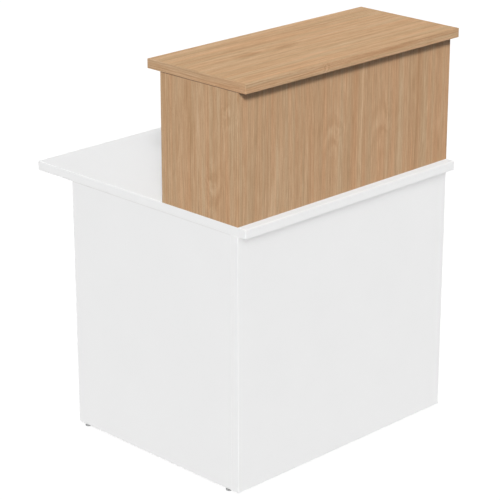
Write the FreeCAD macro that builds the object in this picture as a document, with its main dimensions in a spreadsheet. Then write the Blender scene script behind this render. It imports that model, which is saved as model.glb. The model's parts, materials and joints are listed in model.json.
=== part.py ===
import FreeCAD, Part
import os
import Sketcher

# A library service counter: a white desk base with a closed front, and a raised beech counter on
# the front part of the desk. It is knock-down furniture: 25 mm faced chipboard with plastic edging,
# held by eccentric cams, bolts and dowels, on four screw-adjusted feet.
#
# Millimetres. The origin is on the floor under the middle of the desk. +X is to the visitor's
# right, +Y runs from the visitor's side to the staff side, and +Z is up.

DOC = FreeCAD.newDocument("service_counter")
SHEET = DOC.addObject("Spreadsheet::Sheet", "sizes")

DIMENSIONS = (
    ("unit_width", 800, "whole unit, left to right"),
    ("unit_depth", 800, "desk top, front to rear"),
    ("desk_height", 740, "floor to the desk's upper face"),
    ("counter_height", 1110, "floor to the counter's upper face"),
    ("counter_depth", 350, "counter top, front to rear"),
    ("board", 25, "thickness of every board"),
    ("front_setback", 28, "both front panels behind the desk's front edge"),
    ("staff_overhang", 142, "desk top past the end panels, on the staff side"),
    ("counter_overhang", 47, "counter top past the riser's side panels, on the staff side"),
    ("floor_gap", 10, "floor to the underside of the base panels"),
    ("edging", 2, "thickness of the plastic edging"),
    ("edging_round", 1, "rounding of the edging's long edges and corners"),
    ("fit_gap", 0.05, "radial gap round a fastener or a turning piece"),
    ("base_inset", 80, "base panel's end to its first cam"),
    ("riser_inset", 50, "riser side panel's end to its first cam"),
    ("front_inset", 100, "base front panel's end to its cam"),
    ("riser_front_inset", 130, "riser front panel's end to its cam"),
    ("dowel_pitch", 64, "cam to the dowel beside it"),
    ("cam_setback", 34, "joint to the cam's axis"),
    ("cam_diameter", 15, "bore for a cam"),
    ("cam_bore_depth", 16, "depth of a cam's bore"),
    ("cam_length", 15.2, "a cam along its axis"),
    ("cam_sink", 0.3, "cam's face below the panel's inner face"),
    ("cam_slot", 4.6, "slot that lets a bolt's neck into a cam"),
    ("cam_pocket", 7.2, "room for a bolt's head inside a cam"),
    ("driver_hole", 5, "round middle of a cam's driver recess"),
    ("driver_span", 7, "a cam's driver recess, end to end"),
    ("driver_width", 1.6, "width of a driver recess's arm"),
    ("driver_depth", 4, "depth of a cam's driver recess"),
    ("bolt_bore", 8, "bore for a bolt in a panel's edge"),
    ("bolt_body", 7, "bolt's plain body"),
    ("bolt_body_end", 26, "joint to the end of a bolt's body"),
    ("bolt_neck", 4, "bolt's neck"),
    ("bolt_head", 6.4, "bolt's head"),
    ("bolt_head_length", 4.5, "bolt's head along its axis"),
    ("bolt_screw", 5, "bolt's screwed end"),
    ("bolt_screw_length", 11, "screwed end's length in the mating board"),
    ("dowel_diameter", 8, "wooden dowel"),
    ("dowel_length", 35, "wooden dowel"),
    ("dowel_in_face", 11, "length of a dowel in the mating board's face"),
    ("bore_spare", 0.8, "depth left beyond a fastener's end"),
    ("cap_diameter", 17, "cap over a cam"),
    ("cap_thickness", 1.2, "cap's disc"),
    ("cap_spigot", 4.6, "cap's spigot"),
    ("cap_spigot_length", 3, "cap's spigot"),
    ("foot_inset", 22, "end of an end panel to a foot's axis"),
    ("sleeve_diameter", 11, "threaded sleeve's barrel"),
    ("sleeve_length", 22, "threaded sleeve, with its flange"),
    ("sleeve_flange", 15, "sleeve's flange"),
    ("sleeve_flange_thickness", 1.2, "sleeve's flange"),
    ("foot_bore_depth", 42, "bore for a foot in the panel's lower edge"),
    ("stud_diameter", 8, "foot's screw, M8"),
    ("stud_top", 40, "floor to the stud's tip"),
    ("hex_circle", 14, "circle through the corners of the stud's hexagon"),
    ("hex_low", 5.2, "floor to the hexagon's underside"),
    ("hex_height", 4.2, "hexagon along its axis"),
    ("swivel_head", 7, "button on the stud's lower end"),
    ("swivel_head_low", 1.5, "floor to the button's underside"),
    ("swivel_head_high", 3.2, "floor to the button's upper face"),
    ("swivel_neck", 4.8, "neck above the button"),
    ("pad_diameter", 17, "foot's pad"),
    ("pad_height", 5, "foot's pad"),
    ("pad_wall", 3, "height of the pad's upright side"),
    ("pad_shoulder", 13, "diameter of the pad's flat top"),
    ("chamfer", 0.6, "small chamfers"),
)
for row, (alias, size, meaning) in enumerate(DIMENSIONS, start=1):
    SHEET.set(f"A{row}", meaning)
    SHEET.set(f"B{row}", str(size))
    SHEET.setAlias(f"B{row}", alias)
DOC.recompute()

# Planes of the unit, as expressions on the sheet.
LEFT = "(-sizes.unit_width / 2)"
RIGHT = "(sizes.unit_width / 2)"
DESK_FRONT = "(-sizes.unit_depth / 2)"
DESK_REAR = "(sizes.unit_depth / 2)"
FACE = f"({DESK_FRONT} + sizes.front_setback)"
SHOULDER = f"({FACE} + sizes.board)"
BASE_REAR = f"({DESK_REAR} - sizes.staff_overhang)"
COUNTER_REAR = f"({DESK_FRONT} + sizes.counter_depth)"
RISER_REAR = f"({COUNTER_REAR} - sizes.counter_overhang)"
BASE_LOW = "sizes.floor_gap"
DESK_UNDER = "(sizes.desk_height - sizes.board)"
DESK_TOP = "sizes.desk_height"
COUNTER_UNDER = "(sizes.counter_height - sizes.board)"
COUNTER_TOP = "sizes.counter_height"

WIDTH = (LEFT, RIGHT)
FRONT_BOARD = (FACE, SHOULDER)
FRONT_MIDDLE = f"({FACE} + sizes.board / 2)"
SIDE_BOARDS = {"left": (LEFT, f"({LEFT} + sizes.board)"), "right": (f"({RIGHT} - sizes.board)", RIGHT)}

RIGHTWARD = FreeCAD.Vector(1, 0, 0)
LEFTWARD = FreeCAD.Vector(-1, 0, 0)
REARWARD = FreeCAD.Vector(0, 1, 0)
UP = FreeCAD.Vector(0, 0, 1)
DOWN = FreeCAD.Vector(0, 0, -1)

SIDE_WORDS = {"-x": "left", "+x": "right", "-y": "front", "+y": "rear", "-z": "bottom"}

subparts = []
drillings = {}


def number(expression):
    """The value of an expression on the sheet."""
    return float(SHEET.evalExpression(expression))


def place(thing, x="0", y="0", z="0"):
    """Binds an object's position to expressions."""
    for axis, expression in zip("xyz", (x, y, z)):
        thing.setExpression(f"Placement.Base.{axis}", expression)


def block(name, x, y, z):
    """A rectangular block between a low and a high plane along each axis."""
    thing = DOC.addObject("Part::Box", name)
    for side, (low, high) in zip(("Length", "Width", "Height"), (x, y, z)):
        thing.setExpression(side, f"{high} - {low}")
    place(thing, x[0], y[0], z[0])
    return thing


def middle(span):
    return f"(({span[0]} + {span[1]}) / 2)"


def rod(name, diameter, low, high, along=UP, centre=("0", "0", "0")):
    """A cylinder between two distances from centre, along an axis."""
    thing = DOC.addObject("Part::Cylinder", name)
    thing.setExpression("Radius", f"({diameter}) / 2")
    thing.setExpression("Height", f"{high} - {low}")
    thing.Placement.Rotation = FreeCAD.Rotation(UP, along)
    place(thing, *(f"{c} + ({low}) * {way}" for c, way in zip(centre, along)))
    return thing


def joined(name, kind, pieces):
    """A compound or a fusion of pieces."""
    thing = DOC.addObject(kind, name)
    if kind == "Part::Compound":
        thing.Links = pieces
    else:
        thing.Shapes = pieces
    return thing


def cut(name, base, tool):
    """A solid with a tool's volume removed."""
    thing = DOC.addObject("Part::Cut", name)
    thing.Base = base
    thing.Tool = tool
    return thing


def turned(name, profile):
    """A body turned about Z. profile holds a radius and a height, as expressions, for each corner."""
    body = DOC.addObject("PartDesign::Body", name)
    sketch = body.newObject("Sketcher::SketchObject", f"{name}_profile")
    planes = {feature.Role: feature for feature in body.Origin.OriginFeatures}
    sketch.AttachmentSupport = [(planes["XZ_Plane"], "")]
    sketch.MapMode = "FlatFace"
    corners = [FreeCAD.Vector(number(r), number(h), 0) for r, h in profile]
    for index, corner in enumerate(corners):
        sketch.addGeometry(Part.LineSegment(corner, corners[(index + 1) % len(corners)]))
    for index in range(len(corners)):
        following = (index + 1) % len(corners)
        sketch.addConstraint(Sketcher.Constraint("Coincident", index, 2, following, 1))
    for index, (radius, height) in enumerate(profile):
        for axis, kind, expression in ((-2, "DistanceX", radius), (-1, "DistanceY", height)):
            if expression == "0":
                sketch.addConstraint(Sketcher.Constraint("PointOnObject", index, 1, axis))
                continue
            size = Sketcher.Constraint(kind, -1, 1, index, 1, number(expression))
            place_in_list = sketch.addConstraint(size)
            sketch.setExpression(f"Constraints[{place_in_list}]", expression)
    turning = body.newObject("PartDesign::Revolution", f"{name}_turning")
    turning.Profile = sketch
    turning.ReferenceAxis = (sketch, ["V_Axis"])
    turning.Angle = 360
    body.Tip = turning
    return body


def keep(thing):
    """Lists a finished sub-part."""
    subparts.append(thing)
    return thing


# ---- Boards and their edging ----


def banded_board(name, x, y, z, face, banded):
    """A board and the edging on its banded sides.

    face is the axis across the board. Each strip covers the ends of those after it. The strips are
    cut from a rounded outline, which runs on past the sides that have no edging.
    """
    outline = DOC.addObject("PartDesign::Body", f"{name}_outline")
    envelope = outline.newObject("PartDesign::AdditiveBox", f"{name}_envelope")
    lows = []
    for axis, side, (low, high) in zip("xyz", ("Length", "Width", "Height"), (x, y, z)):
        if axis != face:
            low = low if f"-{axis}" in banded else f"({low} - sizes.board)"
            high = high if f"+{axis}" in banded else f"({high} + sizes.board)"
        envelope.setExpression(side, f"{high} - {low}")
        lows.append(low)
    rounding = outline.newObject("PartDesign::Fillet", f"{name}_rounding")
    rounding.Base = (envelope, ["Edge1"])
    rounding.UseAllEdges = True
    rounding.setExpression("Radius", "sizes.edging_round")
    outline.Tip = rounding
    place(outline, *lows)

    room = {"x": x, "y": y, "z": z}
    for side in banded:
        low, high = room[side[1]]
        if side[0] == "-":
            strip_span = (low, f"({low} + sizes.edging)")
            left_over = (strip_span[1], high)
        else:
            strip_span = (f"({high} - sizes.edging)", high)
            left_over = (low, strip_span[0])
        strip_name = f"{name}_{SIDE_WORDS[side]}_edging"
        region = block(f"{strip_name}_region", **{**room, side[1]: strip_span})
        strip = DOC.addObject("Part::Common", strip_name)
        strip.Base = outline
        strip.Tool = region
        drillings[strip_name] = (strip, [])
        room[side[1]] = left_over
    core = block(f"{name}_core", **room)
    drillings[name] = (core, [])


def base_boards():
    banded_board("desktop", WIDTH, (DESK_FRONT, DESK_REAR), (DESK_UNDER, DESK_TOP), "z",
                 ("-y", "+y", "-x", "+x"))
    height = (BASE_LOW, DESK_UNDER)
    banded_board("base_front_panel", WIDTH, FRONT_BOARD, height, "y", ("-x", "+x", "-z"))
    for hand, across in SIDE_BOARDS.items():
        banded_board(f"{hand}_end_panel", across, (SHOULDER, BASE_REAR), height, "x", ("+y", "-z"))


def riser_boards():
    banded_board("counter_top", WIDTH, (DESK_FRONT, COUNTER_REAR), (COUNTER_UNDER, COUNTER_TOP), "z",
                 ("-y", "+y", "-x", "+x"))
    height = (DESK_TOP, COUNTER_UNDER)
    banded_board("riser_front_panel", WIDTH, FRONT_BOARD, height, "y", ("-x", "+x"))
    for hand, across in SIDE_BOARDS.items():
        banded_board(f"riser_{hand}_panel", across, (SHOULDER, RISER_REAR), height, "x", ("+y",))


# ---- Fittings ----
#
# Each fitting is made once, in the frame of the joint that it crosses: the origin is on the joint,
# halfway through the panel, +Z runs into the panel that holds the cam, and +X points out of that
# panel's inner face. The mating board is on the -Z side.


def cam_bolt():
    reach = "sizes.bolt_screw_length"
    head_low = f"({reach} + sizes.cam_setback - sizes.bolt_head_length / 2)"
    body_end = f"({reach} + sizes.bolt_body_end)"
    bolt = turned("cam_bolt", (
        ("0", "0"),
        ("sizes.bolt_screw / 2 - sizes.chamfer", "0"),
        ("sizes.bolt_screw / 2", "sizes.chamfer"),
        ("sizes.bolt_screw / 2", reach),
        ("sizes.bolt_body / 2", reach),
        ("sizes.bolt_body / 2", body_end),
        ("sizes.bolt_neck / 2", body_end),
        ("sizes.bolt_neck / 2", head_low),
        ("sizes.bolt_head / 2", f"{head_low} + sizes.chamfer"),
        ("sizes.bolt_head / 2", f"{head_low} + sizes.bolt_head_length - sizes.chamfer"),
        ("sizes.bolt_head / 2 - sizes.chamfer", f"{head_low} + sizes.bolt_head_length"),
        ("0", f"{head_low} + sizes.bolt_head_length"),
    ))
    place(bolt, z=f"-{reach}")
    return bolt


def cam():
    """An eccentric cam, slotted for the bolt's neck, with a driver recess in its outer face."""
    outer = "(sizes.board / 2 - sizes.cam_sink)"
    inner = f"({outer} - sizes.cam_length)"
    axis = ("0", "0", "sizes.cam_setback")
    disc = rod("cam_disc", "sizes.cam_diameter - 2 * sizes.fit_gap", inner, outer, RIGHTWARD, axis)
    axle = "sizes.cam_setback"
    slot = ("-sizes.cam_slot / 2", "sizes.cam_slot / 2")
    pocket = ("-sizes.cam_pocket / 2", "sizes.cam_pocket / 2")
    pocket_up = (f"({axle} - sizes.cam_pocket / 2)", f"({axle} + sizes.cam_pocket / 2)")
    arm = ("-sizes.driver_width / 2", "sizes.driver_width / 2")
    arm_up = (f"({axle} - sizes.driver_width / 2)", f"({axle} + sizes.driver_width / 2)")
    span = ("-sizes.driver_span / 2", "sizes.driver_span / 2")
    span_up = (f"({axle} - sizes.driver_span / 2)", f"({axle} + sizes.driver_span / 2)")
    recess_floor = f"({outer} - sizes.driver_depth)"
    recess = (recess_floor, outer)
    recesses = joined("cam_recesses", "Part::MultiFuse", [
        block("cam_neck_slot", slot, slot, (f"({axle} - sizes.cam_diameter)", axle)),
        block("cam_head_pocket", pocket, pocket, pocket_up),
        block("cam_driver_arm_across", recess, span, arm_up),
        block("cam_driver_arm_along", recess, arm, span_up),
        rod("cam_driver_hole", "sizes.driver_hole", recess_floor, outer, RIGHTWARD, axis),
    ])
    return cut("cam", disc, recesses)


def cam_cap():
    lip = "sizes.cap_spigot_length"
    cap = turned("cam_cap", (
        ("0", "0"),
        ("sizes.cap_spigot / 2", "0"),
        ("sizes.cap_spigot / 2", lip),
        ("sizes.cap_diameter / 2", lip),
        ("sizes.cap_diameter / 2", f"{lip} + sizes.cap_thickness - sizes.chamfer"),
        ("sizes.cap_diameter / 2 - sizes.chamfer", f"{lip} + sizes.cap_thickness"),
        ("0", f"{lip} + sizes.cap_thickness"),
    ))
    cap.Placement.Rotation = FreeCAD.Rotation(UP, RIGHTWARD)
    place(cap, x=f"sizes.board / 2 - {lip}", z="sizes.cam_setback")
    return cap


def dowel():
    pin = turned("dowel", (
        ("0", "0"),
        ("sizes.dowel_diameter / 2 - sizes.chamfer", "0"),
        ("sizes.dowel_diameter / 2", "sizes.chamfer"),
        ("sizes.dowel_diameter / 2", "sizes.dowel_length - sizes.chamfer"),
        ("sizes.dowel_diameter / 2 - sizes.chamfer", "sizes.dowel_length"),
        ("0", "sizes.dowel_length"),
    ))
    place(pin, z="-sizes.dowel_in_face")
    return pin


def cam_drilling():
    """What is drilled for one cam and its bolt, in both boards."""
    bore_floor = "(sizes.board / 2 - sizes.cam_bore_depth)"
    past_face = "(sizes.board / 2 + sizes.chamfer)"
    axis = ("0", "0", "sizes.cam_setback")
    screw = "sizes.bolt_screw + 2 * sizes.fit_gap"
    screw_floor = "(-sizes.bolt_screw_length - sizes.bore_spare)"
    return joined("cam_drilling", "Part::MultiFuse", [
        rod("cam_bore", "sizes.cam_diameter", bore_floor, past_face, RIGHTWARD, axis),
        rod("bolt_bore", "sizes.bolt_bore", "0", "sizes.cam_setback"),
        rod("screw_bore", screw, screw_floor, "0"),
    ])


def dowel_drilling():
    low = "(-sizes.dowel_in_face - sizes.bore_spare)"
    high = "(sizes.dowel_length - sizes.dowel_in_face + sizes.bore_spare)"
    return rod("dowel_drilling", "sizes.dowel_diameter + 2 * sizes.fit_gap", low, high)


class Fittings:
    """The cams, bolts, caps and dowels that hold the base or the riser."""

    def __init__(self, unit):
        self.unit = unit
        self.groups = {"cams": [], "cam_bolts": [], "cam_caps": [], "dowels": []}

    def link(self, master, group, at, inward, inner):
        """A copy of a master in the frame of one joint."""
        copy = DOC.addObject("App::Link", f"{self.unit}_{group}_link")
        copy.LinkedObject = master
        copy.LinkTransform = True
        copy.Placement.Rotation = FreeCAD.Rotation(inner, inward.cross(inner), inward, "ZXY")
        place(copy, *at)
        return copy

    def cam(self, panel, mate, at, inward, inner):
        frame = (at, inward, inner)
        self.groups["cams"].append(self.link(CAM, "cam", *frame))
        self.groups["cam_bolts"].append(self.link(CAM_BOLT, "cam_bolt", *frame))
        self.groups["cam_caps"].append(self.link(CAM_CAP, "cam_cap", *frame))
        for board in (panel, mate):
            drillings[board][1].append(self.link(CAM_DRILLING, "cam_drilling", *frame))

    def dowel(self, panel, mate, at, inward, inner):
        frame = (at, inward, inner)
        self.groups["dowels"].append(self.link(DOWEL, "dowel", *frame))
        for board in (panel, mate):
            drillings[board][1].append(self.link(DOWEL_DRILLING, "dowel_drilling", *frame))

    def finish(self):
        for group, copies in self.groups.items():
            keep(joined(f"{self.unit}_{group}", "Part::Compound", copies))


def base_fittings():
    fittings = Fittings("base")
    first = f"({SHOULDER} + sizes.base_inset)"
    last = f"({BASE_REAR} - sizes.base_inset)"
    low = f"({BASE_LOW} + sizes.front_inset)"
    high = f"({DESK_UNDER} - sizes.front_inset)"
    for (hand, across), inner in zip(SIDE_BOARDS.items(), (RIGHTWARD, LEFTWARD)):
        x = middle(across)
        panel = f"{hand}_end_panel"
        for y, beside in ((first, "+ sizes.dowel_pitch"), (last, "- sizes.dowel_pitch")):
            fittings.cam(panel, "desktop", (x, y, DESK_UNDER), DOWN, inner)
            fittings.dowel(panel, "desktop", (x, f"{y} {beside}", DESK_UNDER), DOWN, inner)
        for z, beside in ((low, "+ sizes.dowel_pitch"), (high, "- sizes.dowel_pitch")):
            fittings.cam(panel, "base_front_panel", (x, SHOULDER, z), REARWARD, inner)
            fittings.dowel(panel, "base_front_panel", (x, SHOULDER, f"{z} {beside}"), REARWARD, inner)
    for side, beside in ((LEFT, 1), (RIGHT, -1)):
        x = f"({side} + {beside} * sizes.front_inset)"
        beyond = f"({x} + {beside} * sizes.dowel_pitch)"
        fittings.cam("base_front_panel", "desktop", (x, FRONT_MIDDLE, DESK_UNDER), DOWN, REARWARD)
        fittings.dowel("base_front_panel", "desktop", (beyond, FRONT_MIDDLE, DESK_UNDER), DOWN, REARWARD)
    fittings.finish()


def riser_fittings():
    fittings = Fittings("riser")
    first = f"({SHOULDER} + sizes.riser_inset)"
    last = f"({RISER_REAR} - sizes.riser_inset)"
    low = f"({DESK_TOP} + sizes.base_inset)"
    high = f"({COUNTER_UNDER} - sizes.base_inset)"
    ends = (("counter_top", COUNTER_UNDER, DOWN), ("desktop", DESK_TOP, UP))
    for (hand, across), inner in zip(SIDE_BOARDS.items(), (RIGHTWARD, LEFTWARD)):
        x = middle(across)
        panel = f"riser_{hand}_panel"
        for mate, z, inward in ends:
            for y in (first, last):
                fittings.cam(panel, mate, (x, y, z), inward, inner)
            fittings.dowel(panel, mate, (x, middle((first, last)), z), inward, inner)
        for z in (low, high):
            fittings.cam(panel, "riser_front_panel", (x, SHOULDER, z), REARWARD, inner)
        fittings.dowel(panel, "riser_front_panel", (x, SHOULDER, middle((low, high))), REARWARD, inner)
    for side, beside in ((LEFT, 1), (RIGHT, -1)):
        x = f"({side} + {beside} * sizes.riser_front_inset)"
        beyond = f"({x} + {beside} * sizes.dowel_pitch)"
        for mate, z, inward in ends:
            fittings.cam("riser_front_panel", mate, (x, FRONT_MIDDLE, z), inward, REARWARD)
            fittings.dowel("riser_front_panel", mate, (beyond, FRONT_MIDDLE, z), inward, REARWARD)
    fittings.finish()


# ---- Levelling feet ----


def foot_sleeve(name):
    """The threaded sleeve in an end panel's lower edge."""
    bore = "sizes.stud_diameter / 2 + sizes.fit_gap"
    low = "sizes.floor_gap"
    flange_top = f"({low} + sizes.sleeve_flange_thickness)"
    high = f"({low} + sizes.sleeve_length)"
    return turned(name, (
        (bore, low),
        ("sizes.sleeve_flange / 2", low),
        ("sizes.sleeve_flange / 2", flange_top),
        ("sizes.sleeve_diameter / 2", flange_top),
        ("sizes.sleeve_diameter / 2", high),
        (bore, high),
    ))


def foot_stud(name):
    """The foot's screw: a swivelling button, a neck, a hexagon to turn it by and an M8 stud."""
    hex_high = "(sizes.hex_low + sizes.hex_height)"
    stud = turned(name, (
        ("0", "sizes.swivel_head_low"),
        ("sizes.swivel_head / 2", "sizes.swivel_head_low"),
        ("sizes.swivel_head / 2", "sizes.swivel_head_high"),
        ("sizes.swivel_neck / 2", "sizes.swivel_head_high"),
        ("sizes.swivel_neck / 2", "sizes.hex_low + sizes.hex_height / 2"),
        ("sizes.stud_diameter / 2", "sizes.hex_low + sizes.hex_height / 2"),
        ("sizes.stud_diameter / 2", "sizes.stud_top - sizes.chamfer"),
        ("sizes.stud_diameter / 2 - sizes.chamfer", "sizes.stud_top"),
        ("0", "sizes.stud_top"),
    ))
    hexagon = stud.newObject("PartDesign::AdditivePrism", f"{name}_hexagon")
    hexagon.Polygon = 6
    hexagon.setExpression("Circumradius", "sizes.hex_circle / 2")
    hexagon.setExpression("Height", f"{hex_high} - sizes.hex_low")
    hexagon.setExpression("Placement.Base.z", "sizes.hex_low")
    stud.Tip = hexagon
    return stud


def foot_pad(name):
    """The pad that stands on the floor, with a socket for the stud's button."""
    neck_hole = "sizes.swivel_neck / 2 + sizes.fit_gap"
    socket = "sizes.swivel_head / 2 + sizes.fit_gap"
    socket_top = "sizes.swivel_head_high + sizes.fit_gap"
    socket_floor = "sizes.swivel_head_low - sizes.fit_gap"
    return turned(name, (
        ("0", "0"),
        ("sizes.pad_diameter / 2 - sizes.chamfer", "0"),
        ("sizes.pad_diameter / 2", "sizes.chamfer"),
        ("sizes.pad_diameter / 2", "sizes.pad_wall"),
        ("sizes.pad_shoulder / 2", "sizes.pad_height"),
        (neck_hole, "sizes.pad_height"),
        (neck_hole, socket_top),
        (socket, socket_top),
        (socket, socket_floor),
        ("0", socket_floor),
    ))


def foot_drilling(name):
    """The bore for a sleeve and its stud, with a recess for the sleeve's flange."""
    low = "sizes.floor_gap"
    barrel = "sizes.sleeve_diameter + 2 * sizes.fit_gap"
    flange = "sizes.sleeve_flange + 2 * sizes.fit_gap"
    return joined(name, "Part::MultiFuse", [
        rod(f"{name}_bore", barrel, low, f"({low} + sizes.foot_bore_depth)"),
        rod(f"{name}_recess", flange, low, f"({low} + sizes.sleeve_flange_thickness)"),
    ])


def feet():
    front = f"({SHOULDER} + sizes.foot_inset)"
    rear = f"({BASE_REAR} - sizes.foot_inset)"
    for end, y in (("front", front), ("rear", rear)):
        for hand, across in SIDE_BOARDS.items():
            x = middle(across)
            corner = f"{end}_{hand}"
            for make, piece in ((foot_sleeve, "sleeve"), (foot_stud, "stud"), (foot_pad, "pad")):
                part = keep(make(f"{corner}_foot_{piece}"))
                place(part, x, y)
            drilling = foot_drilling(f"{corner}_foot_drilling")
            place(drilling, x, y)
            for board in (f"{hand}_end_panel", f"{hand}_end_panel_bottom_edging"):
                drillings[board][1].append(drilling)


def finish_boards():
    """Drills each board and strip that has drillings, and lists them all."""
    for name, (blank, tools) in drillings.items():
        if not tools:
            blank.Label = name
            keep(blank)
            continue
        blank.Label = f"{name}_blank"
        holes = joined(f"{name}_holes", "Part::Compound", tools)
        drilled = cut(name, blank, holes)
        drilled.Label = name
        keep(drilled)


def check_and_write():
    DOC.recompute()
    for thing in DOC.Objects:
        if {"Invalid", "Error"} & set(thing.State):
            raise RuntimeError(f"{thing.Label} failed: {thing.State}")
    for name, (blank, tools) in drillings.items():
        drilled = DOC.getObjectsByLabel(name)[0].Shape.Volume
        if tools and drilled >= blank.Shape.Volume:
            raise RuntimeError(f"{name} was not drilled")
    os.makedirs("parts", exist_ok=True)
    for part in subparts:
        if part.Shape.isNull() or not part.Shape.isValid():
            raise RuntimeError(f"{part.Label} has no valid shape")
        part.Shape.exportStep(f"parts/{part.Label}.step")
        print(f"{part.Label}: {len(part.Shape.Solids)} solids, {part.Shape.Volume / 1000:.1f} cm3")


CAM = cam()
CAM_BOLT = cam_bolt()
CAM_CAP = cam_cap()
DOWEL = dowel()
CAM_DRILLING = cam_drilling()
DOWEL_DRILLING = dowel_drilling()
base_boards()
riser_boards()
base_fittings()
riser_fittings()
feet()
finish_boards()
check_and_write()
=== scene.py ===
import json
import math

import bmesh
import bpy
from mathutils import Matrix, Vector


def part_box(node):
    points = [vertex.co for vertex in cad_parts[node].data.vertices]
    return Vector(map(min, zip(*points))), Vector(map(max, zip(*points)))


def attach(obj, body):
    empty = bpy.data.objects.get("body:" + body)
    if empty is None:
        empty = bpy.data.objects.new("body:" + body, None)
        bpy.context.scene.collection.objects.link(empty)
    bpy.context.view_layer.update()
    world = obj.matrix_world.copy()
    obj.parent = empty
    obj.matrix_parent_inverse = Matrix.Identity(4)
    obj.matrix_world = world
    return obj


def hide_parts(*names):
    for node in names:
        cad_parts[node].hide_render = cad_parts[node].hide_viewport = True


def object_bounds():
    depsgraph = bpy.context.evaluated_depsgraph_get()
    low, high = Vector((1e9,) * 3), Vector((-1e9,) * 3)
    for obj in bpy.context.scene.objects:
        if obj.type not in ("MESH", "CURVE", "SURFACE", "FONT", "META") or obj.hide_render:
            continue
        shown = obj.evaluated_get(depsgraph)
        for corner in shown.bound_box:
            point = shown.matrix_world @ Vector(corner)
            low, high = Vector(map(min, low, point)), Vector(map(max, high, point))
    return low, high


# The looks of a library service counter: a white melamine desk base, a raised counter in beech
# decor, plastic edging, cam caps and screw-adjusted feet. The frame's own axes, in metres: X to the
# visitor's right, Y from the visitor to the staff, Z up.

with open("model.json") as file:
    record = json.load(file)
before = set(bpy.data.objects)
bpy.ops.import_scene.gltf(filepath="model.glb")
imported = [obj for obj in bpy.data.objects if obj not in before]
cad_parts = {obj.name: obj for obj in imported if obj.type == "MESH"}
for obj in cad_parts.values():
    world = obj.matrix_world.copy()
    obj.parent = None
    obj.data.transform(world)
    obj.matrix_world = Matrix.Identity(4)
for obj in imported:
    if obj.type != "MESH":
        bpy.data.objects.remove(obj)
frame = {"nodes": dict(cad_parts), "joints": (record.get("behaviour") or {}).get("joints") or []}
cad_low, cad_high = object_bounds()
nodes = frame["nodes"]

MM = 0.001
CORNERS = ("front_left", "front_right", "rear_left", "rear_right")
FOOT_TRAVEL = max(joint["range_m"][1] for joint in frame["joints"] if joint["type"] == "slide")


# ---- Node materials, shared by all the finishes ----


class Tree:
    """Short ways to add nodes to one node tree."""

    def __init__(self, tree):
        self.tree = tree

    def add(self, kind, **settings):
        node = self.tree.nodes.new(kind)
        for name, value in settings.items():
            setattr(node, name, value)
        return node

    def feed(self, socket, value):
        if isinstance(value, bpy.types.NodeSocket):
            self.tree.links.new(value, socket)
        else:
            socket.default_value = value

    def math(self, operation, *values):
        """One sum. Each value is a socket or a number, here and in all the methods below."""
        node = self.add("ShaderNodeMath", operation=operation)
        for socket, value in zip(node.inputs, values):
            self.feed(socket, value)
        return node.outputs[0]

    def vector_math(self, operation, *values):
        node = self.add("ShaderNodeVectorMath", operation=operation)
        for socket, value in zip(node.inputs, values):
            self.feed(socket, value)
        return node.outputs[0]

    def split(self, vector):
        node = self.add("ShaderNodeSeparateXYZ")
        self.feed(node.inputs[0], vector)
        return node.outputs

    def combine(self, x, y, z):
        node = self.add("ShaderNodeCombineXYZ")
        for socket, value in zip(node.inputs, (x, y, z)):
            self.feed(socket, value)
        return node.outputs[0]

    def noise(self, vector, scale=1.0, detail=2.0, roughness=0.5):
        node = self.add("ShaderNodeTexNoise")
        self.feed(node.inputs["Vector"], vector)
        self.feed(node.inputs["Scale"], scale)
        self.feed(node.inputs["Detail"], detail)
        self.feed(node.inputs["Roughness"], roughness)
        return node.outputs["Fac"]

    def swing(self, value, amount):
        """A 0 to 1 value as a swing about zero."""
        return self.math("MULTIPLY", self.math("SUBTRACT", value, 0.5), amount)

    def total(self, *values):
        result = values[0]
        for value in values[1:]:
            result = self.math("ADD", result, value)
        return result

    def remap(self, value, low, high, to_low=0.0, to_high=1.0):
        node = self.add("ShaderNodeMapRange")
        for socket, number in zip(node.inputs, (value, low, high, to_low, to_high)):
            self.feed(socket, number)
        return node.outputs[0]

    def ramp(self, value, *stops):
        """A colour ramp. Each stop is a position and a colour."""
        node = self.add("ShaderNodeValToRGB")
        elements = node.color_ramp.elements
        while len(elements) < len(stops):
            elements.new(1.0)
        for element, (position, colour) in zip(elements, stops):
            element.position = position
            element.color = (*colour, 1.0)
        self.feed(node.inputs[0], value)
        return node.outputs[0]

    def mix(self, amount, first, second, blend="MIX"):
        """A mix of two colours. The mix node's colour sockets are inputs 6 and 7 and output 2."""
        node = self.add("ShaderNodeMix", data_type="RGBA", blend_type=blend)
        for index, value in ((0, amount), (6, first), (7, second)):
            colour = isinstance(value, tuple)
            self.feed(node.inputs[index], (*value, 1.0) if colour else value)
        return node.outputs[2]


class Finish(Tree):
    """A material with one principled shader. constants go on the shader's own sockets."""

    def __init__(self, name, **constants):
        self.material = bpy.data.materials.new(name)
        self.material.use_nodes = True
        super().__init__(self.material.node_tree)
        self.tree.nodes.clear()
        self.shader = self.add("ShaderNodeBsdfPrincipled")
        output = self.add("ShaderNodeOutputMaterial")
        self.tree.links.new(self.shader.outputs[0], output.inputs["Surface"])
        self.place = self.add("ShaderNodeTexCoord").outputs["Object"]
        for socket, value in constants.items():
            self.shader.inputs[socket.replace("_", " ")].default_value = value

    def set(self, colour, roughness):
        self.feed(self.shader.inputs["Base Color"], colour)
        self.feed(self.shader.inputs["Roughness"], roughness)

    def bump(self, height, distance, strength=1.0):
        node = self.add("ShaderNodeBump")
        self.feed(node.inputs["Height"], height)
        node.inputs["Distance"].default_value = distance
        node.inputs["Strength"].default_value = strength
        self.tree.links.new(node.outputs[0], self.shader.inputs["Normal"])


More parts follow.
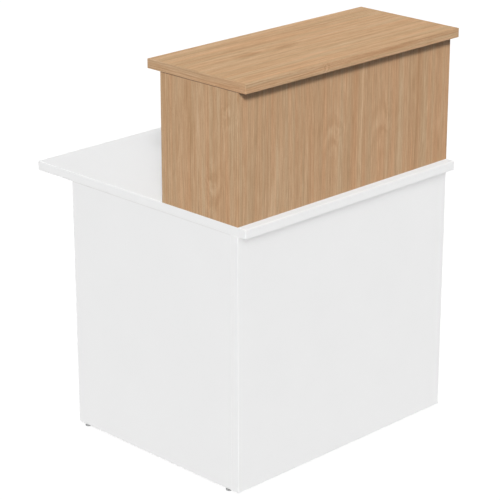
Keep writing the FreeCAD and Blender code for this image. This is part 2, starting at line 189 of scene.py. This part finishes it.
BEECH_DARK = (0.399, 0.228, 0.109)
BEECH_MID = (0.511, 0.318, 0.176)
BEECH_LIGHT = (0.627, 0.428, 0.269)
BEECH_FLECK = (0.80, 0.72, 0.64)
BEECH_ROSE = (1.035, 0.970, 0.930)
BEECH_STRAW = (0.965, 1.018, 1.045)
PLAIN = (1.0, 1.0, 1.0)

# Painted shade: a thin darker line along a panel's upper end, where the board above meets it, stands in
# for the shadow at that joint. Its width, and how much darker it makes each finish.
SHADE_LINE_WIDTH = 1.0 * MM
WHITE_JOINT_SHADE = (0.88, 0.87, 0.86)
BEECH_JOINT_SHADE = (0.30, 0.27, 0.25)


def make_beech_decor():
    """The beech decor as a node group. Its place has X across the grain and Y along it, in metres.

    Figure darkens (below zero) or lightens (above zero) the wood.
    """
    group = bpy.data.node_groups.new("beech_decor", "ShaderNodeTree")
    sockets = group.interface
    sockets.new_socket("Place", in_out="INPUT", socket_type="NodeSocketVector")
    sockets.new_socket("Figure", in_out="INPUT", socket_type="NodeSocketFloat")
    sockets.new_socket("Color", in_out="OUTPUT", socket_type="NodeSocketColor")
    sockets.new_socket("Roughness", in_out="OUTPUT", socket_type="NodeSocketFloat")
    sockets.new_socket("Height", in_out="OUTPUT", socket_type="NodeSocketFloat")
    t = Tree(group)
    given = t.add("NodeGroupInput").outputs
    across, along, through = t.split(given["Place"])

    drift = t.noise(t.vector_math("MULTIPLY", given["Place"], (4.0, 1.6, 4.0)), 1.0, 2.0)
    waver = t.noise(t.vector_math("MULTIPLY", given["Place"], (30.0, 9.0, 30.0)), 1.0, 1.0)
    wandering = t.total(across, t.swing(drift, 0.022), t.swing(waver, 0.0010))

    def stretched(width, length, detail, roughness=0.55):
        """Noise in features of about that width and length."""
        depth = t.math("DIVIDE", through, width * 3)
        vector = t.combine(t.math("DIVIDE", wandering, width), t.math("DIVIDE", along, length), depth)
        return t.noise(vector, 1.0, detail, roughness)

    bands = stretched(0.050, 1.1, 1.0)
    streaks = stretched(0.0060, 0.45, 2.0)
    lines = stretched(0.0017, 0.42, 1.0)
    dashes = stretched(0.0016, 0.040, 1.0)
    fibres = stretched(0.0007, 0.06, 1.0)
    flecks = t.remap(stretched(0.00055, 0.0055, 1.0), 0.62, 0.70)

    # Year rings: circles round the log's middle, which lies at a slowly changing depth.
    taper = t.noise(t.combine(0.0, t.math("MULTIPLY", along, 2.2), 0.0), 1.0, 2.0)
    log_depth = t.total(0.028, t.swing(taper, 0.09))
    squares = t.total(
        t.math("MULTIPLY", wandering, wandering),
        t.math("MULTIPLY", log_depth, log_depth),
    )
    span = t.math("POWER", squares, 0.5)
    year = t.math("FRACT", t.total(t.math("DIVIDE", span, 0.0085), t.swing(bands, 2.5)))
    rings = t.ramp(year, (0.0, (0.62,) * 3), (0.55, (0.52,) * 3), (0.86, (0.30,) * 3), (1.0, (0.62,) * 3))

    tone = t.total(
        0.5,
        t.swing(bands, 0.26),
        t.swing(streaks, 0.14),
        t.swing(lines, 1.14),
        t.swing(dashes, 0.74),
        t.swing(fibres, 1.50),
        t.swing(rings, 0.10),
        given["Figure"],
    )
    wood = t.ramp(tone, (0.0, BEECH_DARK), (0.5, BEECH_MID), (1.0, BEECH_LIGHT))
    warmth = t.remap(stretched(0.016, 0.6, 2.0), 0.35, 0.65)
    wood = t.mix(1.0, wood, t.mix(warmth, BEECH_STRAW, BEECH_ROSE), "MULTIPLY")
    wood = t.mix(flecks, wood, t.mix(1.0, wood, BEECH_FLECK, "MULTIPLY"))
    made = t.add("NodeGroupOutput").inputs
    t.feed(made["Color"], wood)
    t.feed(made["Roughness"], t.total(0.57, t.swing(streaks, 0.10), t.swing(flecks, 0.06)))
    pores = t.math("MULTIPLY", flecks, -0.5)
    t.feed(made["Height"], t.total(t.swing(fibres, 0.5), t.swing(lines, 0.4), pores))
    return group


BEECH_DECOR = make_beech_decor()


def arches(t, across, along, middle, size, pointing, strength):
    """A cathedral figure: nested arches round a middle, uneven, fading out over its size.

    middle and size are metres across and along the grain. pointing is 1 or -1, the arches' way.
    """
    rough = t.combine(t.math("DIVIDE", across, size[0]), t.math("DIVIDE", along, size[1]), 0.0)
    uneven = t.noise(rough, 2.1, 2.0)
    u = t.total(t.math("DIVIDE", t.math("SUBTRACT", across, middle[0]), size[0]), t.swing(uneven, 1.3))
    v = t.math("DIVIDE", t.math("SUBTRACT", along, middle[1]), size[1])
    uu = t.math("MULTIPLY", u, u)
    fade = t.math("EXPONENT", t.math("MULTIPLY", t.total(uu, t.math("MULTIPLY", v, v)), -1.0))
    rise = t.math("MULTIPLY", v, 5.0 * pointing)
    bow = t.math("MULTIPLY", uu, 4.0)
    wave = t.math("SINE", t.total(rise, bow, t.swing(uneven, 6.0)))
    return t.math("MULTIPLY", t.math("MULTIPLY", wave, fade), strength)


def stripe(t, across, along, middle, width, reach, strength):
    """A streak along the grain, slightly curved, that fades out at its ends."""
    v = t.math("DIVIDE", t.math("SUBTRACT", along, middle[1]), reach)
    bend = t.math("MULTIPLY", t.math("SINE", t.math("MULTIPLY", v, 2.4)), width * 0.9)
    offset = t.math("SUBTRACT", t.math("SUBTRACT", across, middle[0]), bend)
    u = t.math("DIVIDE", offset, width)
    spread = t.total(t.math("MULTIPLY", u, u), t.math("POWER", t.math("ABSOLUTE", v), 4.0))
    return t.math("MULTIPLY", t.math("EXPONENT", t.math("MULTIPLY", spread, -1.0)), strength)


def hairlines(t, across, along, width, length, strength):
    """Long fine lines along the grain, all over a board."""
    vector = t.combine(t.math("DIVIDE", across, width), t.math("DIVIDE", along, length), 0.0)
    return t.swing(t.noise(vector, 1.0, 1.0), strength)


def beech(name, grain, offset=(0.0, 0.0, 0.0), figures=(), tint=PLAIN, board=None, cut=None):
    """Beech decor. grain names the axes across, along and through the face, such as "xzy".

    offset picks the part of the endless decor, and figures are marks on it. board, for a board, is
    the CAD node whose raw chipboard shows in its bores and bare ends. cut is the height of an upright
    panel's upper end, under which a thin line of painted shade stands for the shadow at its joint.
    """
    finish = Finish(name, Specular_IOR_Level=0.4)
    axes = dict(zip("xyz", finish.split(finish.place)))
    across, along, through = (axes[letter] for letter in grain)
    decor = finish.add("ShaderNodeGroup", node_tree=BEECH_DECOR)
    place = finish.combine(*(finish.total(a, b) for a, b in zip((across, along, through), offset)))
    finish.feed(decor.inputs["Place"], place)
    marks = [kind(finish, across, along, *sizes) for kind, *sizes in figures]
    if marks:
        finish.feed(decor.inputs["Figure"], finish.total(*marks))
    colour = decor.outputs["Color"]
    # The tint paints light on the counter top and shade on the riser's front panel.
    if tint != PLAIN:
        colour = finish.mix(1.0, colour, tint, "MULTIPLY")
    roughness = decor.outputs["Roughness"]
    if board:
        colour, roughness = with_raw_core(finish, board, grain[2], colour, roughness)
    # Painted shade: a thin darker line under the panel's upper end, for the shadow at its joint.
    if cut:
        colour = with_painted_joint_shade(finish, colour, cut, BEECH_JOINT_SHADE)
    finish.set(colour, roughness)
    finish.bump(decor.outputs["Height"], 0.00006, 0.5)
    return finish.material


CHIP_DARK = (0.16, 0.09, 0.045)
CHIP_MID = (0.42, 0.28, 0.16)
CHIP_LIGHT = (0.62, 0.46, 0.30)
DENSE_LAYER = 2.3 * MM


def with_raw_core(finish, board, through, colour, roughness):
    """Coarse chipboard in a board's bores and bare ends, inside its faces' dense pale layers."""
    low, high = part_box(board)
    axis = "xyz".index(through)
    depth = finish.split(finish.place)[axis]
    away = finish.math("ABSOLUTE", finish.math("SUBTRACT", depth, (low[axis] + high[axis]) / 2))
    raw = finish.math("LESS_THAN", away, (high[axis] - low[axis]) / 2 - DENSE_LAYER)
    chips = finish.noise(finish.place, 700.0, 2.0, 0.6)
    coarse = finish.noise(finish.place, 190.0, 1.0)
    tone = finish.total(chips, finish.swing(coarse, 0.5))
    core = finish.ramp(tone, (0.25, CHIP_DARK), (0.5, CHIP_MID), (0.8, CHIP_LIGHT))
    dull = finish.math("MAXIMUM", roughness, finish.math("MULTIPLY", raw, 0.85))
    return finish.mix(raw, colour, core), dull


def with_painted_joint_shade(finish, colour, height, shade):
    """Painted shade: a thin darker line along a panel's upper end, for the shadow at its joint."""
    line = finish.math("GREATER_THAN", finish.split(finish.place)[2], height - SHADE_LINE_WIDTH)
    return finish.mix(line, colour, finish.mix(1.0, colour, shade, "MULTIPLY"))


def white(name, albedo, board, through, cut=None):
    """White melamine: a fine pearl texture, slightly uneven in gloss. through is the board's thin axis."""
    finish = Finish(name, Specular_IOR_Level=0.4)
    pearl = finish.noise(finish.place, 1500.0, 2.0, 0.6)
    cloud = finish.noise(finish.place, 7.0, 3.0, 0.5)
    shade = [c * 0.988 for c in albedo]
    colour = finish.ramp(cloud, (0.3, shade), (0.7, albedo))
    colour = finish.mix(finish.remap(pearl, 0.3, 0.7, 0.0, 0.05), colour, tuple(c * 0.9 for c in albedo))
    roughness = finish.total(0.55, finish.swing(cloud, 0.10), finish.swing(pearl, 0.12))
    colour, roughness = with_raw_core(finish, board, through, colour, roughness)
    # Painted shade: a thin darker line under the panel's upper end, for the shadow at its joint.
    if cut:
        colour = with_painted_joint_shade(finish, colour, cut, WHITE_JOINT_SHADE)
    finish.set(colour, roughness)
    finish.bump(pearl, 0.00004, 0.5)
    return finish.material


CUTTER_RIPPLE = 2.1 * MM


def white_edging(name, albedo, along):
    """White edging: smoother than the boards, with faint ripples across from the trimming cutter."""
    finish = Finish(name, Specular_IOR_Level=0.5)
    axes = finish.split(finish.place)
    turns = finish.math("MULTIPLY", axes["xyz".index(along)], 2 * math.pi / CUTTER_RIPPLE)
    ripples = finish.math("SINE", turns)
    cloud = finish.noise(finish.place, 22.0, 2.0)
    colour = finish.ramp(cloud, (0.3, tuple(c * 0.985 for c in albedo)), (0.7, albedo))
    finish.set(colour, finish.total(0.46, finish.swing(cloud, 0.10)))
    peel = finish.noise(finish.place, 900.0, 1.0)
    finish.bump(finish.total(finish.swing(ripples, 0.12), peel), 0.00002, 0.4)
    return finish.material


def steel(name, tint, roughness, scale):
    """Plated steel or zinc with fine uneven plating."""
    finish = Finish(name, Metallic=1.0)
    grains = finish.noise(finish.place, scale, 3.0, 0.6)
    stain = finish.noise(finish.place, scale / 9, 2.0)
    colour = finish.ramp(stain, (0.3, tuple(c * 0.82 for c in tint)), (0.7, tint))
    finish.set(colour, finish.total(roughness, finish.swing(grains, 0.22)))
    finish.bump(grains, 0.00003, 0.4)
    return finish.material


def nylon(name, colour, roughness=0.5):
    """Moulded nylon: a matt spark-eroded skin with slight flow marks."""
    finish = Finish(name, Specular_IOR_Level=0.5)
    skin = finish.noise(finish.place, 2600.0, 2.0, 0.7)
    flow = finish.noise(finish.place, 130.0, 2.0)
    shade = finish.ramp(flow, (0.3, tuple(c * 0.88 for c in colour)), (0.7, colour))
    finish.set(shade, finish.total(roughness, finish.swing(flow, 0.12), finish.swing(skin, 0.08)))
    finish.bump(skin, 0.00003, 0.5)
    return finish.material


def dowel_wood(name):
    """Turned beech dowels: pale end grain and long fibres."""
    finish = Finish(name)
    fibres = finish.noise(finish.place, 1100.0, 3.0, 0.6)
    bands = finish.noise(finish.place, 90.0, 2.0)
    tone = finish.total(finish.math("MULTIPLY", fibres, 0.6), finish.math("MULTIPLY", bands, 0.4))
    finish.set(finish.ramp(tone, (0.3, (0.42, 0.27, 0.15)), (0.7, (0.66, 0.48, 0.31))), 0.7)
    finish.bump(fibres, 0.00008, 0.6)
    return finish.material


def paint(material, *names):
    """Gives CAD nodes a material."""
    for name in names:
        for place in nodes[name].material_slots:
            place.material = material


WHITE_SIDE = (0.898, 0.898, 0.898)
# Painted shade: the desk top's white is darker than the sides' white, to offset the stronger light that
# falls on tops.
WHITE_DESK_PAINTED_SHADE = (0.791, 0.793, 0.795)
RISER_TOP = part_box("riser_front_panel")[1].z
BASE_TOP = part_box("base_front_panel")[1].z
# Painted light: the counter top's beech is tinted lighter than the riser's, as its top catches more light.
SLAB_PAINTED_LIGHT_TINT = (1.079, 1.057, 0.972)
# Painted shade: the riser's front panel is tinted darker than its left side, for the difference in light
# on the two faces.
FRONT_PAINTED_SHADE_TINT = (0.957, 0.955, 0.954)

# The marks that the raised counter's decor shows on each board: place, size and strength.
FRONT_MARKS = (
    (arches, (-0.060, 0.905), (0.032, 0.050), 1, 0.22),
    (arches, (0.128, 0.900), (0.036, 0.060), 1, 0.20),
    (stripe, (0.270, 0.900), 0.0045, 0.42, -0.36),
    (stripe, (0.050, 0.930), 0.0045, 0.22, 0.34),
    (stripe, (0.016, 0.900), 0.0140, 0.35, -0.18),
    (stripe, (-0.270, 0.800), 0.0110, 0.12, 0.30),
    (stripe, (-0.156, 0.830), 0.0040, 0.10, 0.30),
    (stripe, (-0.340, 0.900), 0.0060, 0.30, -0.14),
    (stripe, (0.205, 0.950), 0.0060, 0.20, 0.22),
)
LEFT_MARKS = (
    (arches, (-0.287, 0.830), (0.026, 0.055), -1, 0.30),
    (arches, (-0.340, 1.020), (0.020, 0.035), 1, 0.24),
    (stripe, (-0.200, 1.000), 0.0095, 0.10, -0.26),
    (stripe, (-0.115, 0.980), 0.0045, 0.16, -0.24),
    (stripe, (-0.240, 0.900), 0.0075, 0.18, 0.18),
    (stripe, (-0.168, 0.820), 0.0035, 0.10, 0.28),
    (stripe, (-0.322, 0.990), 0.0040, 0.14, 0.20),
)
TOP_MARKS = (
    (arches, (-0.206, -0.160), (0.028, 0.110), 1, 0.30),
    (stripe, (-0.213, -0.111), 0.0080, 0.09, -0.22),
    (stripe, (-0.063, 0.080), 0.0060, 0.30, 0.30),
    (stripe, (-0.148, -0.180), 0.0060, 0.22, -0.18),
    (stripe, (-0.100, 0.180), 0.0110, 0.28, -0.16),
    (stripe, (-0.300, 0.100), 0.0090, 0.30, 0.22),
    (hairlines, 0.0060, 0.50, 1.05),
)
EDGE_MARKS = (
    (arches, (1.098, -0.117), (0.012, 0.012), 1, 0.34),
    (stripe, (1.104, 0.150), 0.0030, 0.20, -0.25),
)


def finish_boards():
    paint(beech("beech_counter_top_painted_light", "yxz", (0.31, 0.4, 0.0), TOP_MARKS, SLAB_PAINTED_LIGHT_TINT, "counter_top"),
          "counter_top")
    # The riser's panels get a thin line of painted shade under the counter top (RISER_TOP).
    for panel, grain, offset, marks, tint in (
        ("riser_front_panel", "xzy", (0.0, 0.2, 0.7), FRONT_MARKS, FRONT_PAINTED_SHADE_TINT),
        ("riser_left_panel", "yzx", (0.9, 1.6, 0.0), LEFT_MARKS, PLAIN),
        ("riser_right_panel", "yzx", (2.7, 0.3, 0.0), (), PLAIN),
    ):
        paint(beech(f"beech_{panel}", grain, offset, marks, tint, panel, RISER_TOP), panel)
    paint(beech("beech_edging_slab_long", "zxy", (0.53, 0.9, 0.3), EDGE_MARKS),
          "counter_top_front_edging", "counter_top_rear_edging")
    paint(beech("beech_edging_slab_side", "zyx", (0.77, 2.1, 0.1)),
          "counter_top_left_edging", "counter_top_right_edging")
    # These edgings get the same line of painted shade under the counter top.
    paint(beech("beech_edging_upright", "yzx", (1.37, 3.3, 0.2), cut=RISER_TOP),
          "riser_front_panel_left_edging", "riser_front_panel_right_edging")
    paint(beech("beech_edging_rear", "xzy", (1.91, 4.1, 0.5)),
          "riser_left_panel_rear_edging", "riser_right_panel_rear_edging")
    paint(white("white_desktop_painted_shade", WHITE_DESK_PAINTED_SHADE, "desktop", "z"), "desktop")
    # The base's front and end panels get a thin line of painted shade under the desk top (BASE_TOP).
    paint(white("white_front_panel", WHITE_SIDE, "base_front_panel", "y", BASE_TOP), "base_front_panel")
    for hand in ("left", "right"):
        panel = f"{hand}_end_panel"
        paint(white(f"white_{panel}", WHITE_SIDE, panel, "x", BASE_TOP), panel)
        paint(white_edging(f"white_edging_{hand}_rear", WHITE_SIDE, "z"), f"{panel}_rear_edging")
        paint(white_edging(f"white_edging_{hand}_bottom", WHITE_SIDE, "y"), f"{panel}_bottom_edging")
    paint(white_edging("white_edging_desk_long", WHITE_SIDE, "x"),
          "desktop_front_edging", "desktop_rear_edging")
    paint(white_edging("white_edging_desk_side", WHITE_SIDE, "y"),
          "desktop_left_edging", "desktop_right_edging")
    paint(white_edging("white_edging_front_upright", WHITE_SIDE, "z"),
          "base_front_panel_left_edging", "base_front_panel_right_edging")
    paint(white_edging("white_edging_front_bottom", WHITE_SIDE, "x"), "base_front_panel_bottom_edging")


ZINC = steel("zinc_die_casting", (0.60, 0.61, 0.62), 0.42, 1400.0)
PLATED = steel("plated_steel_turned", (0.66, 0.66, 0.65), 0.30, 2200.0)
NYLON_GREY = nylon("grey_nylon_moulded", (0.370, 0.374, 0.378))
NYLON_WHITE = nylon("white_cap_moulded", (0.80, 0.80, 0.79), 0.42)
NYLON_BEECH = nylon("beech_cap_moulded", (0.52, 0.335, 0.20), 0.42)
DOWEL_WOOD = dowel_wood("beech_dowel_turned")


# ---- Turned and moulded pieces ----


def circle(segments):
    """The angles of equal steps round a circle."""
    return [2 * math.pi * k / segments for k in range(segments)]


def add_skin(bm, rings, first_pole, last_pole):
    """Faces from each ring of vertices to the next, with both ends closed onto a pole."""
    count = len(rings[0])
    for lower, upper in zip(rings, rings[1:]):
        for k in range(count):
            following = (k + 1) % count
            bm.faces.new((lower[k], lower[following], upper[following], upper[k]))
    for ring, place, flip in ((rings[0], first_pole, True), (rings[-1], last_pole, False)):
        pole = bm.verts.new(place)
        for k in range(count):
            corner = (ring[k], ring[(k + 1) % count], pole)
            bm.faces.new(corner[::-1] if flip else corner)


def finish_piece(bm, name, sharp, material, slot, body, node):
    """Makes the piece that stands for a CAD node, smooth but for edges over sharp degrees."""
    bmesh.ops.recalc_face_normals(bm, faces=bm.faces)
    mesh = bpy.data.meshes.new(name)
    bm.to_mesh(mesh)
    bm.free()
    piece = bpy.data.objects.new(name, mesh)
    bpy.context.scene.collection.objects.link(piece)
    mesh.materials.append(material)
    mesh.shade_smooth()
    mesh.set_sharp_from_angle(angle=math.radians(sharp))
    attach(piece, body)
    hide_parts(node)


def turned(name, rows, segments, centre, *finish):
    """A piece turned about a vertical axis through centre.

    Each row is two functions of the angle, which give the height and the radius there. The first and
    last rows close onto the axis.
    """
    bm = bmesh.new()
    rings = []
    for height, radius in rows:
        ring = []
        for a in circle(segments):
            x, y = radius(a) * math.cos(a), radius(a) * math.sin(a)
            ring.append(bm.verts.new((x + centre[0], y + centre[1], height(a))))
        rings.append(ring)
    add_skin(bm, rings, (*centre, rows[0][0](0.0)), (*centre, rows[-1][0](0.0)))
    finish_piece(bm, name, 32, *finish)


def level(height):
    """The height function of a row that lies flat."""
    return lambda angle: height


def round_row(height, radius):
    """A flat, round row."""
    return level(height), lambda angle: radius


PITCH = 1.25 * MM
THREAD_DEPTH = 0.60 * MM
THREAD_RADIUS = 3.98 * MM
THREAD_ROWS = 8  # for each turn
LEAD_IN = 1.2 * MM


def threaded(height, shrink):
    """A row of the thread: flat crest and root, steep flanks, right-handed, shrunk inwards."""
    def radius(angle):
        phase = (height / PITCH - angle / (2 * math.pi)) % 1.0
        rise = min(1.0, max(0.0, (abs(phase - 0.5) - 0.07) / 0.33))
        return THREAD_RADIUS - THREAD_DEPTH * (1.0 - rise) - shrink
    return level(height), radius


def thread_rows(low, high):
    """Rows of the thread. Its upper end slopes in, to start it in the sleeve."""
    count = round((high - low) / PITCH * THREAD_ROWS)
    rows = []
    for k in range(count + 1):
        height = low + (high - low) * k / count
        shrink = max(0.0, LEAD_IN - (high - height))
        rows.append(threaded(height, shrink * 0.8))
    return rows


HEX_LOW = 5.2 * MM
HEX_HIGH = 9.4 * MM
HEX_SIDES = 6
HEX_FACE = 5.6 * MM  # the round face inside the hexagon's chamfer
BUTTON = 3.4 * MM
NECK = 2.35 * MM
PAD_FLUTES = 24
PAD_SOCKET = 3.52 * MM


def hexagon(height, across, way):
    """A row round the hexagon, cut off at its corners by the chamfer cone.

    across is the distance from its middle to a flat. way is 1 at its top and -1 at its bottom.
    """
    half_side = math.pi / HEX_SIDES

    def radius(angle):
        return across / math.cos((angle + half_side) % (2 * half_side) - half_side)

    def sloped(angle):
        return height - way * (radius(angle) - across) * 0.9
    return sloped, radius


def fluted(height, radius, depth):
    """A row round the pad, with finger flutes."""
    return level(height), lambda angle: radius - depth * (0.5 - 0.5 * math.cos(PAD_FLUTES * angle)) ** 3


def stud_rows(across, tip):
    """The stud's swivelling button, neck, hexagon and thread, from below."""
    return [
        round_row(1.5 * MM, 3.0 * MM),
        round_row(1.75 * MM, BUTTON),
        round_row(2.95 * MM, BUTTON),
        round_row(3.2 * MM, 3.1 * MM),
        round_row(3.25 * MM, NECK),
        round_row(HEX_LOW - 0.1 * MM, NECK),
        round_row(HEX_LOW, HEX_FACE),
        hexagon(HEX_LOW + 0.05 * MM, across, -1),
        hexagon(HEX_HIGH - 0.05 * MM, across, 1),
        round_row(HEX_HIGH, HEX_FACE),
        round_row(HEX_HIGH + 0.05 * MM, 3.6 * MM),
        *thread_rows(HEX_HIGH + 0.3 * MM, tip),
    ]


def pad_rows(base, top, edge):
    """The pad's underside, fluted rim, sloping shoulder and socket for the button."""
    return [
        round_row(base + 0.35 * MM, 5.6 * MM),
        round_row(base, 6.1 * MM),
        round_row(base, edge - 0.9 * MM),
        fluted(base + 0.12 * MM, edge - 0.42 * MM, 0.1 * MM),
        fluted(base + 0.45 * MM, edge - 0.1 * MM, 0.3 * MM),
        fluted(base + 0.9 * MM, edge, 0.45 * MM),
        fluted(base + 2.6 * MM, edge, 0.45 * MM),
        fluted(base + 3.0 * MM, edge - 0.15 * MM, 0.3 * MM),
        round_row(base + 3.2 * MM, edge - 0.45 * MM),
        round_row(base + 4.7 * MM, 6.7 * MM),
        round_row(top, 6.3 * MM),
        round_row(top, 2.75 * MM),
        round_row(top - 0.3 * MM, 2.5 * MM),
        round_row(base + 3.27 * MM, 2.5 * MM),
        round_row(base + 3.27 * MM, PAD_SOCKET),
        round_row(base + 1.4 * MM, PAD_SOCKET),
    ]


def make_feet():
    for corner in CORNERS:
        low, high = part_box(f"{corner}_foot_stud")
        middle = ((low.x + high.x) / 2, (low.y + high.y) / 2)
        across = (high.x - low.x) / 2 * math.cos(math.pi / HEX_SIDES)
        turned(f"{corner}_threaded_stud", stud_rows(across, high.z), 36, middle,
               PLATED, "plated_steel", f"{corner}_stud", f"{corner}_foot_stud")
        low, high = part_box(f"{corner}_foot_pad")
        turned(f"{corner}_moulded_pad", pad_rows(low.z, high.z, (high.x - low.x) / 2), 96, middle,
               NYLON_GREY, "grey_nylon", f"{corner}_pad", f"{corner}_foot_pad")


def loose_parts(node):
    """The boxes of a CAD node's separate solids."""
    bm = bmesh.new()
    bm.from_mesh(nodes[node].data)
    bmesh.ops.remove_doubles(bm, verts=bm.verts, dist=0.01 * MM)
    seen = set()
    boxes = []
    for start in bm.verts:
        if start in seen:
            continue
        seen.add(start)
        island = []
        waiting = [start]
        while waiting:
            vertex = waiting.pop()
            island.append(vertex.co.copy())
            for edge in vertex.link_edges:
                other = edge.other_vert(vertex)
                if other not in seen:
                    seen.add(other)
                    waiting.append(other)
        low, high = (Vector([pick(point[k] for point in island) for k in range(3)]) for pick in (min, max))
        boxes.append((low, high))
    bm.free()
    return boxes


def faces_forward(middle, axis):
    """Whether a cap at middle, flat across axis, faces the axis's positive way, into its bay."""
    return middle[axis] < 0 if axis == 0 else True


# A cap's dome, from its rim to its middle: radius and height in millimetres.
CAP_PROFILE = (
    (8.15, 0.0), (8.5, 0.12), (8.5, 0.55), (8.3, 0.85), (7.9, 1.0), (7.2, 0.98), (6.6, 0.86),
    (5.0, 0.98), (2.5, 1.12), (0.6, 1.18),
)
CAP_HEIGHT = 1.2 * MM


def make_caps(name, material, slot, node):
    """Moulded cam caps: a shallow dome with a rolled rim, on the CAD caps' places."""
    bm = bmesh.new()
    for low, high in loose_parts(node):
        size = high - low
        axis = min(range(3), key=lambda k: size[k])
        middle = (low + high) / 2
        outward = 1 if faces_forward(middle, axis) else -1
        normal = Vector((0.0, 0.0, 0.0))
        normal[axis] = outward
        base = middle.copy()
        base[axis] = (high if outward > 0 else low)[axis] - outward * CAP_HEIGHT
        place = Matrix.Translation(base) @ normal.to_track_quat("Z", "Y").to_matrix().to_4x4()
        rings = []
        for radius, height in CAP_PROFILE:
            ring = []
            for a in circle(40):
                point = Vector((radius * math.cos(a), radius * math.sin(a), height)) * MM
                ring.append(bm.verts.new(place @ point))
            rings.append(ring)
        add_skin(bm, rings, base, place @ Vector((0.0, 0.0, CAP_HEIGHT)))
    finish_piece(bm, name, 50, material, slot, "counter", node)


finish_boards()
paint(ZINC, "base_cams", "riser_cams")
paint(PLATED, "base_cam_bolts", "riser_cam_bolts", *(f"{corner}_foot_sleeve" for corner in CORNERS))
paint(DOWEL_WOOD, "base_dowels", "riser_dowels")
make_feet()
make_caps("base_cap_mouldings", NYLON_WHITE, "white_cap", "base_cam_caps")
make_caps("riser_cap_mouldings", NYLON_BEECH, "beech_cap", "riser_cam_caps")


# ---- Floor, light and camera ----


def add_stage(name, bm, glow, shade):
    """A plain stage surface from a mesh under construction, with its own glow and a matt shade."""
    finish = Finish(name, Emission_Strength=glow, Emission_Color=(1.0, 1.0, 1.0, 1.0),
                    Base_Color=(shade, shade, shade, 1.0), Roughness=0.9, Specular_IOR_Level=0.0)
    mesh = bpy.data.meshes.new(name)
    bm.to_mesh(mesh)
    bm.free()
    mesh.materials.append(finish.material)
    surface = bpy.data.objects.new(name, mesh)
    bpy.context.scene.collection.objects.link(surface)
    surface.visible_diffuse = False
    surface.visible_shadow = False
    return surface


def make_stage():
    """A plain pale floor, just under the feet's lowest travel, and a plain backdrop round it."""
    bm = bmesh.new()
    bmesh.ops.create_circle(bm, cap_ends=True, segments=96, radius=30.0)
    floor = add_stage("floor", bm, glow=0.93, shade=0.12)
    floor.location.z = cad_low.z - FOOT_TRAVEL - 0.5 * MM
    bm = bmesh.new()
    bmesh.ops.create_uvsphere(bm, u_segments=48, v_segments=24, radius=32.0)
    backdrop = add_stage("backdrop", bm, glow=1.03, shade=0.0)
    backdrop.visible_glossy = False
    return floor


def make_sun(name, towards, energy, spread):
    """A distant lamp without glare. towards points to the lamp, and spread is its width in degrees."""
    sun = bpy.data.lights.new(name, "SUN")
    sun.energy = energy
    sun.angle = math.radians(spread)
    lamp = bpy.data.objects.new(name, sun)
    bpy.context.scene.collection.objects.link(lamp)
    lamp.rotation_mode = "QUATERNION"
    lamp.rotation_quaternion = Vector(towards).to_track_quat("Z", "Y")
    lamp.visible_glossy = False
    return lamp


def linking(name, state, objects):
    """A set of objects that a lamp, or its shadows, includes or leaves out."""
    collection = bpy.data.collections.new(name)
    for thing in objects:
        collection.objects.link(thing)
    for link in collection.collection_objects:
        link.light_linking.link_state = state
    return collection


# The ways from the object to its lamps.
KEY = (-0.553, -0.554, 0.53)
REAR_FILL = (0.62, 0.68, 0.20)
FLOOR_BOUNCE = (-0.45, 0.80, -0.30)
INSIDE_BOARDS = ("base_front_panel", "right_end_panel", "desktop",
                 "riser_front_panel", "riser_right_panel", "counter_top")
BOUNCELESS = ("desktop", "riser_front_panel", "riser_left_panel", "riser_right_panel")


def make_light(floor):
    """A key from the visitor's left, a broad fill from behind, floor bounce and a plain pale sky.

    Most of the key reaches the base's front panel past the desk top, so that the overhang's shadow
    on it stays pale. The fill leaves the floor alone, so that the object's shadow falls one way.
    The boards in BOUNCELESS throw no light on their neighbours, so that the beech stays even and
    the desk stays white right up to their joint.
    """
    world = bpy.data.worlds.new("studio")
    bpy.context.scene.world = world
    world.use_nodes = True
    t = Tree(world.node_tree)
    world.node_tree.nodes.clear()
    height = t.split(t.add("ShaderNodeTexCoord").outputs["Generated"])[2]
    background = t.add("ShaderNodeBackground")
    sky = t.ramp(t.remap(height, -0.25, 0.25), (0.0, (0.13,) * 3), (1.0, (0.25,) * 3))
    t.feed(background.inputs["Color"], sky)
    output = t.add("ShaderNodeOutputWorld")
    t.feed(output.inputs["Surface"], background.outputs[0])

    front = [nodes[name] for name in nodes if name.startswith("base_front_panel")]
    desk = [nodes[name] for name in nodes if name.startswith("desktop")]
    riser = [nodes[name] for name in nodes if name.startswith(("riser", "counter_top"))]
    inside = [nodes[name] for name in INSIDE_BOARDS]
    make_sun("key", KEY, energy=1.08, spread=26.0)
    upper_key = make_sun("upper_key", KEY, energy=2.82, spread=9.0)
    upper_key.light_linking.receiver_collection = linking("all_but_front_panel", "EXCLUDE", front)
    lower_key = make_sun("lower_key", KEY, energy=2.82, spread=9.0)
    lower_key.light_linking.receiver_collection = linking("front_panel", "INCLUDE", front)
    lower_key.light_linking.blocker_collection = linking("all_but_desk", "EXCLUDE", desk)
    fill = make_sun("rear_fill", REAR_FILL, energy=2.0, spread=80.0)
    fill.light_linking.receiver_collection = linking("all_but_floor", "EXCLUDE", [floor])
    fill.light_linking.blocker_collection = linking("all_but_riser", "EXCLUDE", riser)
    bounce = make_sun("floor_bounce", FLOOR_BOUNCE, energy=0.8, spread=60.0)
    bounce.light_linking.receiver_collection = linking("boards_inside", "INCLUDE", inside)
    for name in BOUNCELESS:
        nodes[name].visible_diffuse = False


CAMERA_PLACE = (-3.6859, -3.7016, 2.3930)
CAMERA_VIEW = (0.6640, 0.6642, -0.3436)


def make_camera():
    """A long lens, high up on the visitor's left."""
    camera = bpy.data.cameras.new("camera")
    camera.sensor_width = 36.0
    camera.lens = 144.93
    camera.clip_end = 200.0
    holder = bpy.data.objects.new("camera", camera)
    bpy.context.scene.collection.objects.link(holder)
    holder.location = CAMERA_PLACE
    holder.rotation_mode = "QUATERNION"
    holder.rotation_quaternion = Vector(CAMERA_VIEW).to_track_quat("-Z", "Y")
    bpy.context.scene.camera = holder


floor = make_stage()
make_light(floor)
make_camera()
bpy.context.scene.view_settings.view_transform = "Standard"
